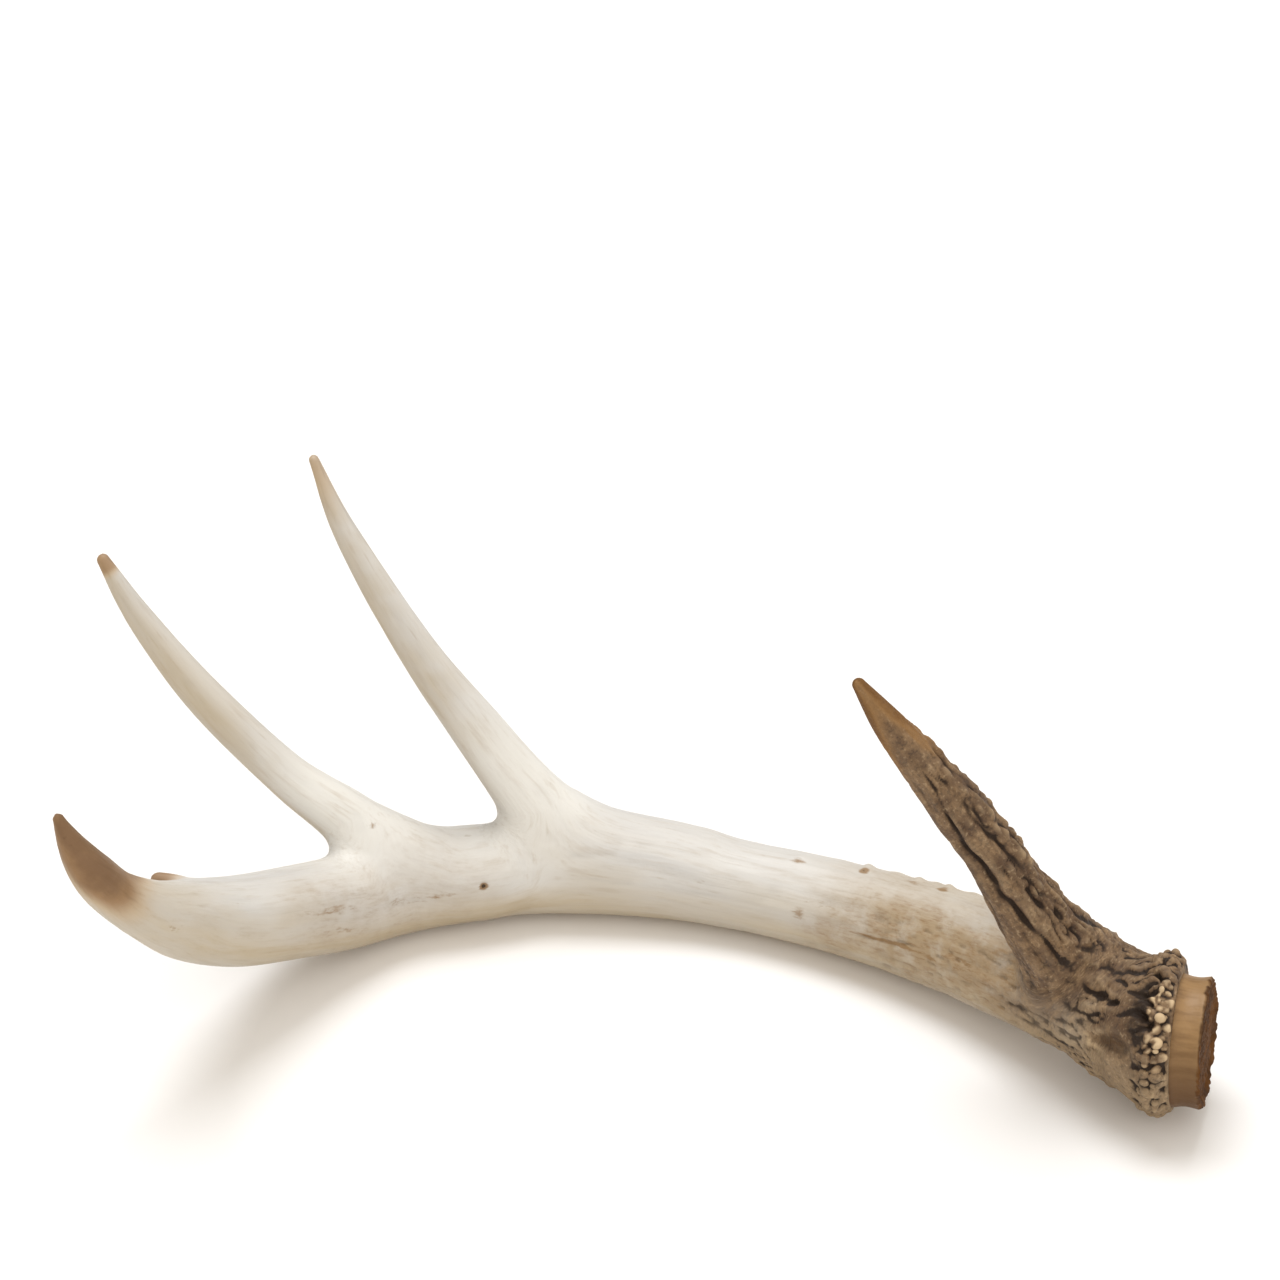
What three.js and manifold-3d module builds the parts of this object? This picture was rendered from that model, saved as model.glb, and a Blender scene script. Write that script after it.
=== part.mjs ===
// A deer's antler, cut from the skull with its short stump of skull bone (the pedicle).
// It lies as it rests by itself, on the burr and on the belly of the main beam, tines upright.
// Millimetres, +Z up. +X runs from the tip of the beam to the cut face, +Y to the outside of the curve.
import * as THREE from 'three';
import { LoftGeometry } from 'three/addons/geometries/LoftGeometry.js';
import * as BufferGeometryUtils from 'three/addons/utils/BufferGeometryUtils.js';
import Module from 'manifold-3d';

const wasm = await Module();
wasm.setup();

// ---------------------------------------------------------------- driving dimensions

// Each branch is a smooth line through a few stations: [x, y, z, half width, half depth].
// The half depth lies in the plane of the fork (up, on the beam), the half width across it.
const MAIN_BEAM = [
  [163, -54, 28, 22.5, 22.5],
  [156, -46.5, 27.5, 21, 21.5],
  [146, -36, 26.5, 19.5, 19.5],
  [129.5, -18, 23.5, 18.5, 18],
  [103.5, 8, 19.5, 17, 16.8],
  [71, 30.5, 16.6, 16, 15.6],
  [35, 46.5, 15.4, 15.5, 15.4],
  [0, 55, 17, 15.5, 16.4],
  [-35.5, 57, 16.8, 15.5, 15.8],
  [-63.5, 52.5, 17.4, 15.5, 16.5],
  [-88, 44.5, 16.8, 15.5, 16.5],
  [-106, 31.5, 19.5, 15.5, 16.2],
  [-121, 15, 27, 15, 15.6],
  [-137, -6.5, 38.5, 14.5, 14.8],
  [-150, -25, 52, 13, 13.2],
  [-158, -41, 66, 10.5, 10.4],
  [-166.5, -53.5, 81, 8.2, 7.9],
  [-172, -61.5, 95, 6.8, 6.8],
  [-176.5, -65.5, 108, 4.6, 4.5],
  [-180, -66.5, 120, 1.8, 1.8],
];
const BROW_TINE = [
  [145, -31, 25, 17, 19],
  [133.5, -34, 45.5, 13.5, 14.5],
  [123.5, -36, 60.5, 11, 11.4],
  [108, -38, 87, 9, 9.3],
  [94, -40, 107.5, 7.8, 8.2],
  [83.5, -41, 122.5, 6.5, 6.8],
  [72.5, -42, 137.5, 4.8, 5],
  [62, -43, 153.5, 1.8, 1.8],
];
const SECOND_TINE = [
  [-9, 56, 20, 11, 16],
  [-32, 58, 31.5, 11.5, 15],
  [-46.5, 63, 49, 10, 11],
  [-62, 67, 70.5, 8.4, 9.2],
  [-80.5, 72, 97, 6.4, 6.9],
  [-103.5, 78, 139.5, 4, 4.3],
  [-114, 81.5, 167.5, 1.6, 1.6],
];
const THIRD_TINE = [
  [-79, 47.5, 20, 10, 15],
  [-92.5, 46.5, 31, 10.5, 13],
  [-107.5, 50, 43.5, 9.2, 10],
  [-127.5, 54, 58.5, 7.4, 7.9],
  [-154, 60, 86, 6.5, 6.9],
  [-174, 65, 114, 4.4, 4.6],
  [-186.5, 69.5, 136, 2, 2],
];
const SMALL_POINT = [
  [-147, -15, 52.5, 5.5, 5.5],
  [-156, -12, 55, 3.8, 3.8],
  [-164, -10, 56, 2.6, 2.6],
];

// Where a fork is parted, counted in stations from the root of the tine.
const BROW_FORK = 1.6;
const SECOND_FORK = 2;
const THIRD_FORK = 2;
const FORK_GAP = 0.3;

// The burr is a crown of bony pearls around the foot of the beam, square to the pedicle.
const BURR_CENTRE = new THREE.Vector3(164.5, -55, 28.2);
const PEDICLE_AXIS = new THREE.Vector3(0.951, -0.3, 0.078).normalize();
const BURR_PROFILE = [[-9, 21], [-6.5, 23.6], [-4, 25.7], [-1.5, 26.3], [1, 26.3], [3, 25.1], [5, 23]];
const PEARLS_AROUND = 17;
const PEARL_HEIGHT = 1.3;
const PEARL_ROWS = [-4, 1];
const PEARL_SPREAD = 2.4;

// The pedicle, a waisted stump sawn off flat.
const PEDICLE_DROP = 1.2;
const PEDICLE_PROFILE = [[5.3, 21.2], [7.5, 20.5], [10, 20.3], [12.3, 20.6], [13.8, 20.9], [14.5, 20.6]];

// Furrows run along the beam from the burr, and die out towards its middle.
const FURROWS_AROUND = 11;
const FURROW_DEPTH = 1.1;
const FURROW_REACH = 70;
const TINE_FURROWS = 7;
const TINE_FURROW_DEPTH = 0.75;

// Small bony bumps on top of the beam: [distance from its foot, angle off the top, height, spread].
const BEAM_RADIUS = 16;
const BEAM_BUMPS = [
  [90, 0.4, 1.4, 4],
  [100, 0.5, 1.2, 4],
  [122, 0.35, 1.4, 5],
  [145, 0.45, 1.1, 6],
];

// Brings the origin to the middle of the antler's footprint, on what it rests on.
const SEAT = new THREE.Vector3(1.46, -0.92, 0.12);

const COLOURS = {
  main_beam: 0xd6cbb9,
  brow_tine: 0x7b644a,
  second_tine: 0xdfd6c6,
  third_tine: 0xdcd2c1,
  pedicle: 0xa8845a,
};

// ---------------------------------------------------------------- branches

// A branch as functions of the distance from its root: centre, half sizes and section frame.
// `reference` is the direction that the half depth leans to.
function branch(stations, reference) {
  const line = new THREE.CatmullRomCurve3(
    stations.map(([x, y, z]) => new THREE.Vector3(x, y, z)), false, 'catmullrom', 0.5);
  const sizes = new THREE.CatmullRomCurve3(
    stations.map(([, , , wide, deep]) => new THREE.Vector3(wide, deep, 0)), false, 'catmullrom', 0.5);
  line.arcLengthDivisions = 800;
  const length = line.getLength();

  function frameAt(t) {
    const tangent = line.getTangent(t);
    const side = new THREE.Vector3().crossVectors(reference, tangent).normalize();
    const depth = new THREE.Vector3().crossVectors(tangent, side);
    return { centre: line.getPoint(t), tangent, side, depth };
  }

  function at(distance) {
    const t = line.getUtoTmapping(Math.min(distance / length, 1));
    const { x: wide, y: deep } = sizes.getPoint(t);
    return { ...frameAt(t), wide, deep };
  }

  return { length, at, forkFrame: (station) => frameAt(station / (stations.length - 1)) };
}

// Distances of the rings: even steps of the given sizes, then three that close the round tip.
function ringDistances(length, tipRadius, stepSizes) {
  const distances = [0];
  const last = length - tipRadius;
  for (const [until, step] of stepSizes) {
    const from = distances.at(-1);
    const end = Math.min(until, last);
    const count = Math.max(1, Math.round((end - from) / step));
    for (let i = 1; i <= count; i += 1) distances.push(from + (end - from) * i / count);
  }
  for (const angle of [30, 60, 80]) {
    distances.push(last + tipRadius * Math.sin(THREE.MathUtils.degToRad(angle)));
  }
  return distances;
}

// A closed loft of the branch; relief(distance, angle) lifts the skin, in millimetres.
function branchGeometry(shape, sides, stepSizes, relief) {
  const tipRadius = shape.at(shape.length).deep;
  const rings = ringDistances(shape.length, tipRadius, stepSizes).map((distance) => {
    const { centre, side, depth, wide, deep } = shape.at(distance);
    const intoTip = Math.max(0, (distance - shape.length + tipRadius) / tipRadius);
    const round = Math.sqrt(1 - Math.min(intoTip, 0.99) ** 2);
    return ring(sides, (angle) => {
      const lift = relief(distance, angle);
      return centre.clone()
        .addScaledVector(depth, Math.cos(angle) * (deep + lift) * round)
        .addScaledVector(side, -Math.sin(angle) * (wide + lift) * round);
    });
  });
  return new LoftGeometry(rings, { capStart: true, capEnd: true });
}

function ring(sides, pointAt) {
  return Array.from({ length: sides }, (_, i) => pointAt(2 * Math.PI * i / sides));
}

// ---------------------------------------------------------------- relief of the skin

// A round lump: height times a bell curve of the distance over the skin from its middle.
function bump(distance, angle, radius, [along, around, height, spread]) {
  const a = (distance - along) / spread;
  const b = Math.atan2(Math.sin(angle - around), Math.cos(angle - around)) * radius / spread;
  return height * Math.exp(-(a * a + b * b));
}

function beamRelief(distance, angle) {
  const fade = Math.exp(-((distance / FURROW_REACH) ** 2));
  const furrows = Math.cos(FURROWS_AROUND * angle + 0.06 * distance + 1.4 * Math.sin(2 * angle));
  const broken = 0.75 + 0.25 * Math.sin(0.21 * distance + 3 * angle);
  const flutes = 0.3 * Math.cos(5 * angle + 0.012 * distance);
  const bumps = BEAM_BUMPS.reduce((sum, one) => sum + bump(distance, angle, BEAM_RADIUS, one), 0);
  return FURROW_DEPTH * fade * furrows * broken + flutes * (1 - fade) + bumps;
}

function browRelief(distance, angle, length) {
  const fade = THREE.MathUtils.smoothstep(length - distance, 12, 45);
  const furrows = Math.cos(TINE_FURROWS * angle + 0.05 * distance + Math.sin(2 * angle));
  const knobs = Math.cos(0.42 * distance + 3 * angle) * Math.cos(0.17 * distance - 2 * angle);
  return fade * TINE_FURROW_DEPTH * (furrows + 0.9 * knobs);
}

function fluteRelief(distance, angle) {
  return 0.15 * Math.cos(4 * angle + 0.02 * distance);
}

// ---------------------------------------------------------------- rings about the pedicle's axis

function axisFrame(drop) {
  const up = new THREE.Vector3(0, 0, 1);
  const side = new THREE.Vector3().crossVectors(up, PEDICLE_AXIS).normalize();
  const depth = new THREE.Vector3().crossVectors(PEDICLE_AXIS, side);
  return { centre: BURR_CENTRE.clone().setZ(BURR_CENTRE.z - drop), side, depth };
}

// A solid turned about the axis from a profile of [distance along it, radius].
function turnedGeometry(profile, sides, drop, relief) {
  const { centre, side, depth } = axisFrame(drop);
  const rings = profile.map(([along, radius]) => ring(sides, (angle) => {
    const reach = radius + relief(along, angle);
    return centre.clone()
      .addScaledVector(PEDICLE_AXIS, along)
      .addScaledVector(depth, Math.cos(angle) * reach)
      .addScaledVector(side, -Math.sin(angle) * reach);
  }));
  return new LoftGeometry(rings, { capStart: true, capEnd: true });
}

// Two rows of pearls, the second shifted by half a pearl, on a slightly wavy crown.
function burrRelief(along, angle) {
  const firstRow = Math.exp(-(((along - PEARL_ROWS[0]) / PEARL_SPREAD) ** 2));
  const secondRow = Math.exp(-(((along - PEARL_ROWS[1]) / PEARL_SPREAD) ** 2));
  const wave = 0.5 * Math.cos(2 * angle) + 0.4 * Math.cos(3 * angle + 2.8);
  return PEARL_HEIGHT * Math.cos(PEARLS_AROUND * angle) * (firstRow - secondRow) + wave;
}

function pedicleRelief(along, angle) {
  return 0.35 * Math.cos(2 * angle + 0.8) + 0.2 * Math.cos(5 * angle + 0.1 * along);
}

// ---------------------------------------------------------------- joining and cutting

function solidOf(geometry) {
  const bare = new THREE.BufferGeometry();
  bare.setAttribute('position', geometry.attributes.position);
  bare.setIndex(geometry.index);
  const merged = BufferGeometryUtils.mergeVertices(bare, 1e-4);
  return new wasm.Manifold(new wasm.Mesh({
    numProp: 3,
    vertProperties: new Float32Array(merged.attributes.position.array),
    triVerts: new Uint32Array(merged.index.array),
  }));
}

function meshOf(name, solid, roughness) {
  const { numProp, vertProperties, triVerts } = solid.getMesh();
  const positions = new Float32Array(vertProperties.length / numProp * 3);
  for (let i = 0; i < positions.length / 3; i += 1) {
    positions.set(vertProperties.subarray(i * numProp, i * numProp + 3), i * 3);
  }
  const geometry = new THREE.BufferGeometry();
  geometry.setAttribute('position', new THREE.BufferAttribute(positions, 3));
  geometry.setIndex(new THREE.BufferAttribute(new Uint32Array(triVerts), 1));
  const flat = geometry.toNonIndexed();
  flat.computeVertexNormals();
  const material = new THREE.MeshStandardMaterial({ color: COLOURS[name], roughness, metalness: 0 });
  const mesh = new THREE.Mesh(flat, material);
  mesh.name = name;
  return mesh;
}

// Parts a tine at its fork: the stub stays on the beam, the tine starts one gap further out.
function partAtFork(solid, { centre, tangent }) {
  const level = centre.dot(tangent);
  const out = tangent.toArray();
  const back = tangent.clone().negate().toArray();
  return {
    tine: solid.trimByPlane(out, level + FORK_GAP / 2),
    stub: solid.trimByPlane(back, -(level - FORK_GAP / 2)),
  };
}

// ---------------------------------------------------------------- the antler

const UP = new THREE.Vector3(0, 0, 1);
const TO_SKULL = new THREE.Vector3(1, 0, 0);

const beam = branch(MAIN_BEAM, UP);
const brow = branch(BROW_TINE, TO_SKULL);
const second = branch(SECOND_TINE, TO_SKULL);
const third = branch(THIRD_TINE, TO_SKULL);
const smallPoint = branch(SMALL_POINT, UP);

const beamSolid = solidOf(branchGeometry(beam, 34, [[110, 5.5], [400, 11], [900, 8.5]], beamRelief));
const browSolid = solidOf(branchGeometry(brow, 22, [[900, 5]], (s, a) => browRelief(s, a, brow.length)));
const secondSolid = solidOf(branchGeometry(second, 18, [[60, 6], [900, 9]], fluteRelief));
const thirdSolid = solidOf(branchGeometry(third, 18, [[60, 6], [900, 9]], fluteRelief));
const pointSolid = solidOf(branchGeometry(smallPoint, 10, [[900, 4]], () => 0));

const browFork = partAtFork(browSolid, brow.forkFrame(BROW_FORK));
const secondFork = partAtFork(secondSolid, second.forkFrame(SECOND_FORK));
const thirdFork = partAtFork(thirdSolid, third.forkFrame(THIRD_FORK));

const burrSolid = solidOf(turnedGeometry(BURR_PROFILE, 4 * PEARLS_AROUND, 0, burrRelief));
const pedicleSolid = solidOf(turnedGeometry(PEDICLE_PROFILE, 32, PEDICLE_DROP, pedicleRelief));

// The beam's own foot is trimmed level with the burr's face, so that the pedicle meets it flat.
const burrFace = BURR_CENTRE.dot(PEDICLE_AXIS) + BURR_PROFILE.at(-1)[0];
const mainBeamSolid = beamSolid
  .add(burrSolid)
  .add(browFork.stub)
  .add(secondFork.stub)
  .add(thirdFork.stub)
  .add(pointSolid)
  .trimByPlane(PEDICLE_AXIS.clone().negate().toArray(), -burrFace);

const antler = new THREE.Group();
antler.position.copy(SEAT);
antler.add(meshOf('main_beam', mainBeamSolid, 0.6));
antler.add(meshOf('brow_tine', browFork.tine, 0.75));
antler.add(meshOf('second_tine', secondFork.tine, 0.5));
antler.add(meshOf('third_tine', thirdFork.tine, 0.5));
antler.add(meshOf('pedicle', pedicleSolid, 0.55));

export default antler;
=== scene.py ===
import math

import bmesh
import bpy
import numpy as np
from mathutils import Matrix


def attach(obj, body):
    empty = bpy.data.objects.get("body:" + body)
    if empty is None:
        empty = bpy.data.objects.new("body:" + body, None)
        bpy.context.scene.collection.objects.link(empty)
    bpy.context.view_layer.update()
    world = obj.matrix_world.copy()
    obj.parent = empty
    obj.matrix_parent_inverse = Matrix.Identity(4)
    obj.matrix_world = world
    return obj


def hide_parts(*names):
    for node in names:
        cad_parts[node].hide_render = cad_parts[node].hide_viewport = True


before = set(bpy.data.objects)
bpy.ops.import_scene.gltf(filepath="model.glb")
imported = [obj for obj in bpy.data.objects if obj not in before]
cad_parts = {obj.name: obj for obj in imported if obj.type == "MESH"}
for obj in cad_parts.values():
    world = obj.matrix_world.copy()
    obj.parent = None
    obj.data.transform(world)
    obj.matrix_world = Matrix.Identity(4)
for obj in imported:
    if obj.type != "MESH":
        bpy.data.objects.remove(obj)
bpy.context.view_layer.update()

# ---------------------------------------------------------------- the camera
# It looks at the open side of the antler's curve, from 30 degrees above, with a short telephoto lens.

LENS = 85
CAMERA_AT = (-0.00204, -0.83273, 0.62312)
CAMERA_ABOVE = 30      # degrees that it looks down

camera_data = bpy.data.cameras.new("camera")
camera_data.lens = LENS
camera = bpy.data.objects.new("camera", camera_data)
camera.location = CAMERA_AT
camera.rotation_euler = (math.radians(90 - CAMERA_ABOVE), 0, 0)
bpy.context.scene.collection.objects.link(camera)
bpy.context.scene.camera = camera

# ---------------------------------------------------------------- the table and the light
# A wide white table that glows faintly, in a warm white room that is brighter at the front and the
# right, as from a large window there, and one soft light above, a little behind.

FLOOR_HALF = 4.0
FLOOR_PAINT = {
    "Base Color": (0.76, 0.76, 0.76, 1), "Roughness": 0.45, "Specular IOR Level": 0.25,
    "Emission Color": (1.0, 0.66, 0.36, 1), "Emission Strength": 0.05,
}
ROOM_WHITE = (1.0, 0.953, 0.885, 1)
ROOM_WINDOW = (0.5, -0.87, 0.0)   # the way to its brightest side
# From the room's dim side to its bright one: where it starts and ends, and how bright each is.
ROOM_RANGE = {"From Min": -0.8, "From Max": 0.8, "To Min": 0.36, "To Max": 1.5}
LIGHT_POWER = 2.2
LIGHT_WHITE = (0.98, 1.0, 1.03)
LIGHT_SPREAD = 36      # degrees that the light is wide
LIGHT_TILT = 18        # degrees that it leans to the back
LIGHT_TURN = -9.5      # and towards the tip
LIGHT_AT = (0, 0.5, 1)

corners = np.array([[-1, -1, 0], [1, -1, 0], [1, 1, 0], [-1, 1, 0]], float) * FLOOR_HALF
floor_mesh = bpy.data.meshes.new("floor")
floor_mesh.from_pydata(corners.tolist(), [], [(0, 1, 2, 3)])
floor = bpy.data.objects.new("floor", floor_mesh)
bpy.context.scene.collection.objects.link(floor)
floor_material = bpy.data.materials.new("white_table")
floor_material.use_nodes = True
floor_shader = floor_material.node_tree.nodes["Principled BSDF"]
for socket, value in FLOOR_PAINT.items():
    floor_shader.inputs[socket].default_value = value
floor_mesh.materials.append(floor_material)

world = bpy.data.worlds.new("white_room")
world.use_nodes = True
room = world.node_tree.nodes["Background"]
room.inputs["Color"].default_value = ROOM_WHITE
towards = world.node_tree.nodes.new("ShaderNodeVectorMath")
towards.operation = "DOT_PRODUCT"
towards.inputs[1].default_value = ROOM_WINDOW
brightness = world.node_tree.nodes.new("ShaderNodeMapRange")
for socket, value in ROOM_RANGE.items():
    brightness.inputs[socket].default_value = value
direction = world.node_tree.nodes.new("ShaderNodeTexCoord")
world.node_tree.links.new(direction.outputs["Generated"], towards.inputs[0])
world.node_tree.links.new(towards.outputs["Value"], brightness.inputs["Value"])
world.node_tree.links.new(brightness.outputs["Result"], room.inputs["Strength"])
bpy.context.scene.world = world
bpy.context.scene.view_settings.view_transform = "Standard"

light_data = bpy.data.lights.new("soft_light", "SUN")
light_data.angle = math.radians(LIGHT_SPREAD)
light_data.energy = LIGHT_POWER
light_data.color = LIGHT_WHITE
light = bpy.data.objects.new("soft_light", light_data)
light.rotation_euler = (math.radians(-LIGHT_TILT), math.radians(LIGHT_TURN), 0)
light.location = LIGHT_AT
bpy.context.scene.collection.objects.link(light)

# ---------------------------------------------------------------- the main beam
# The beam is a curved shaft of bone, oval in section. Blood vessels of the velvet have left shallow
# channels along it, which are deep and rough near the skull and fade to smooth pale bone at the tip.

MM = 0.001
SEAT = np.array([1.46, -0.92, 0.12])   # moves the growth, in millimetres, to rest where the solids do
UP = np.array([0.0, 0.0, 1.0])

# Stations of a branch, in millimetres: x, y, z, half width, half depth (up, on the beam).
BEAM = [
    (163, -54, 28, 22.5, 22.5), (156, -46.5, 27.5, 21, 21.5), (146, -36, 26.5, 19.5, 19.5),
    (129.5, -18, 23.5, 18.5, 18), (103.5, 8, 19.5, 17, 16.8), (71, 30.5, 16.6, 16, 15.6),
    (35, 46.5, 15.4, 15.5, 15.4), (0, 55, 17, 15.5, 16.4), (-35.5, 57, 16.8, 15.5, 15.8),
    (-63.5, 52.5, 17.4, 15.5, 16.5), (-88, 44.5, 16.8, 15.5, 16.5), (-106, 31.5, 19.5, 15.5, 16.2),
    (-121, 15, 27, 15, 15.6), (-137, -6.5, 38.5, 14.5, 14.8), (-150, -25, 52, 13, 13.2),
    (-158, -41, 66, 10.5, 10.4), (-166.5, -53.5, 81, 8.2, 7.9), (-172, -61.5, 95, 6.8, 6.8),
    (-176.5, -65.5, 108, 4.4, 4.3), (-180, -66.5, 120, 1.3, 1.3),
]
BEAM_FOOT = 9          # the shaft starts this far along, inside the burr
CHANNELS = 11          # channels around the foot of the beam
CHANNEL_DEPTH = 0.7
CHANNEL_REACH = 58     # distance over which they die out
ROUGH_REACH = 33       # and the small roughness between them
BEAM_SWELL = 0.5       # the bone past the channels stands this much out, down to the table
BEAM_RADIUS = 16
# Bumps on the crest: distance from the foot, angle off the top in degrees, height, spread.
CREST_BUMPS = [
    (147, 6, 0.8, 2.8), (134, 16, 0.5, 3.6), (123, 18, 1.5, 2.2), (113, 26, 0.6, 3.0),
    (104, 22, 1.1, 1.9), (98, 28, 0.6, 2.4), (93, 26, 1.2, 1.8), (84, 32, 0.8, 2.6),
    (74, 25, 1.0, 2.4), (64, 22, 0.9, 2.8),
]
# The hole of a blood vessel: distance, angle, depth, spread.
VESSEL_HOLE = (264, -74, -1.7, 1.25)
# Long shallow channels: from, to, angle at each end in degrees, half width, depth.
LONG_CHANNELS = [
    (70, 300, -52, -44, 3.2, 0.45), (95, 260, -74, -70, 2.4, 0.35), (120, 330, -24, -30, 3.0, 0.3),
    (88, 122, -76, -80, 0.7, 1.0), (60, 240, 64, 80, 3.4, 0.4), (80, 300, 118, 130, 3.0, 0.4),
    (70, 280, 168, 176, 3.0, 0.3), (250, 390, -84, -60, 2.8, 0.25),
]
SAMPLE = 1.0           # step between the samples of a branch
SPAN_STEPS = 60        # steps in which the curve between two stations is worked out
NEAR = 34              # how far around its box a branch looks for points
FAR_GAP = 99.0         # the gap that points further off are given
THINNEST = 2.5         # least half size of a branch's tube
LATTICE = 48           # the noise repeats after this many cells


def dot(a, b):
    """Dot product of matching rows."""
    return np.einsum("ij,ij->i", a, b)


def unit(rows):
    """Each row at length one."""
    return rows / np.maximum(np.linalg.norm(rows, axis=-1, keepdims=True), 1e-9)


def ease(values, low, high):
    """0 below low, 1 above high, and a smooth S between them: t squared times (3 - 2t)."""
    t = np.clip((values - low) / (high - low), 0, 1)
    return t * t * (3 - 2 * t)


def stretch(values, start, full, fade, end):
    """0 before the start, 1 from full to fade, and 0 again past the end, with an S on each side."""
    return ease(values, start, full) * (1 - ease(values, fade, end))


def facing(angle, towards, low, high):
    """How much a side faces one way around the branch: an S over the cosine of the turn from it."""
    return ease(np.cos(angle - towards), low, high)


def closed_rings(rings, ends):
    """Rings of points joined by four-sided faces, with a fan to a middle point at each end."""
    count, sides = rings.shape[:2]
    index = np.arange(count * sides).reshape(count, sides)
    following = np.roll(index, -1, axis=1)
    walls = np.stack([index[:-1], following[:-1], following[1:], index[1:]], -1).reshape(-1, 4)
    first = np.stack([following[0], index[0], np.full(sides, count * sides)], -1)
    final = np.stack([index[-1], following[-1], np.full(sides, count * sides + 1)], -1)
    return np.vstack([rings.reshape(-1, 3), ends]), walls.tolist() + first.tolist() + final.tolist()


class Branch:
    """A branch as a table of samples one step apart: centre, tangent, side, depth, half sizes."""

    def __init__(self, stations, reference, start=0, root_cap=0.6):
        """Catmull-Rom through the stations: each span is the cubic whose slope at a station is half
        the way from the station before to the one after. The side is square to the reference and
        the tangent, and the depth is square to both."""
        p = np.array(stations, float)
        p = np.vstack([2 * p[0] - p[1], p, 2 * p[-1] - p[-2]])
        spans = len(p) - 3
        t = np.linspace(0, spans, SPAN_STEPS * spans + 1)
        i = np.minimum(t.astype(int), spans - 1)
        w = (t - i)[:, None]
        before, here, then, after = p[i], p[i + 1], p[i + 2], p[i + 3]
        cubic = 3 * (here - then) + after - before
        square = 2 * before - 5 * here + 4 * then - after
        curve = here + 0.5 * w * (then - before + w * (square + w * cubic))
        steps = np.linalg.norm(np.diff(curve[:, :3], axis=0), axis=1)
        self.run = np.concatenate([[0], np.cumsum(steps)])
        self.length = self.run[-1]
        at = np.arange(0, self.length, SAMPLE)
        curve = np.column_stack([np.interp(at, self.run, column) for column in curve.T])
        tangent = unit(np.gradient(curve[:, :3], axis=0))
        side = unit(np.cross(reference, tangent))
        depth = np.cross(tangent, side)
        self.table = np.hstack([curve[:, :3], tangent, side, depth, curve[:, 3:]])
        self.start = start
        self.last = self.length - self.table[-1, 13]
        self.root_cap = root_cap

    def station(self, number):
        """Distance of a station, counted from the root, which may lie between two of them."""
        return self.run[int(round(SPAN_STEPS * number))]

    def look(self, distance):
        """The table at any distance, blended from its two nearest rows."""
        place = np.clip(np.asarray(distance) / SAMPLE, 0, len(self.table) - 1.001)
        row = place.astype(int)
        part = (place - row)[..., None]
        return self.table[row] * (1 - part) + self.table[row + 1] * part

    def place(self, points):
        """Where points lie against the branch, worked out for those that are near its box. Points
        further off are given a wide gap."""
        low = self.table[:, :3].min(axis=0) - NEAR
        high = self.table[:, :3].max(axis=0) + NEAR
        near = np.all((points > low) & (points < high), axis=1)
        found = self.place_near(points[near])
        places = {"gap": np.full(len(points), FAR_GAP), "way": np.zeros((len(points), 3))}
        for name, values in found.items():
            whole = places.setdefault(name, np.zeros((len(points), *values.shape[1:])))
            whole[near] = values
        return places

    def place_near(self, points):
        """The nearest sample is refined by three steps along the tangent. The gap is the distance
        times one less the inverse of how far out the point is in half sizes, which is 0 on the oval
        skin and on the round caps past both ends."""
        every = 4
        centres = self.table[::every, :3]
        nearest = np.argmin(np.sum(centres**2, axis=1) - 2 * points @ centres.T, axis=1)
        distance = nearest * every * SAMPLE
        for _ in range(3):
            row = self.look(distance)
            distance = distance + dot(points - row[:, :3], row[:, 3:6])
            distance = np.clip(distance, self.start, self.last)
        row = self.look(distance)
        offset = points - row[:, :3]
        top = dot(offset, row[:, 9:12])
        across = -dot(offset, row[:, 6:9])
        beyond = dot(offset, row[:, 3:6])
        wide, deep = row[:, 12], row[:, 13]
        cap = deep * np.where(distance > self.start + 0.5, 1, self.root_cap)
        out = np.sqrt((top / deep) ** 2 + (across / wide) ** 2 + (beyond / cap) ** 2)
        reach = np.linalg.norm(offset, axis=1)
        return {
            "distance": distance,
            "angle": np.arctan2(across / wide, top / deep),
            "gap": reach * (1 - 1 / np.maximum(out, 1e-6)),
            "way": unit(offset),
            "straight": np.column_stack([top, across, distance]),
        }

    def tube(self, sides=40, step=3.0):
        """Vertices and faces of rings around the centre line. The thin tip is kept thick and long
        enough for the remesh, and then settles on the skin."""
        at = np.linspace(self.start, self.last, int((self.last - self.start) / step) + 2)
        row = self.look(at)[:, None, :].copy()
        row[..., 12:] = np.maximum(row[..., 12:], THINNEST)
        angle = np.linspace(0, 2 * np.pi, sides, endpoint=False)[None, :, None]
        ring = row[..., :3] + np.cos(angle) * row[..., 9:12] * row[..., 13:14]
        ring = ring - np.sin(angle) * row[..., 6:9] * row[..., 12:13]
        return closed_rings(ring, [row[0, 0, :3], row[-1, 0, :3] + row[-1, 0, 3:6] * 2 * THINNEST])


def noise(places, seed):
    """Smooth noise from -1 to 1: random numbers at whole places, eased in x, y and z between them."""
    lattice = np.random.default_rng(seed).uniform(-1, 1, (LATTICE, LATTICE, LATTICE))
    cell = np.floor(places).astype(int)
    part = places - cell
    part = part * part * (3 - 2 * part)
    total = np.zeros(len(places))
    for corner in np.ndindex(2, 2, 2):
        x, y, z = ((cell + corner) % LATTICE).T
        total += np.prod(np.where(corner, part, 1 - part), axis=1) * lattice[x, y, z]
    return total


def hills(straight, across, along, seed):
    """Rounded hills parted by sharp valleys: 2.2 times the size of the noise, less 0.7, with cells
    that are longer along the branch."""
    return 2.2 * np.abs(noise(straight / (across, across, along) + 17.3, seed)) - 0.7


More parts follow.
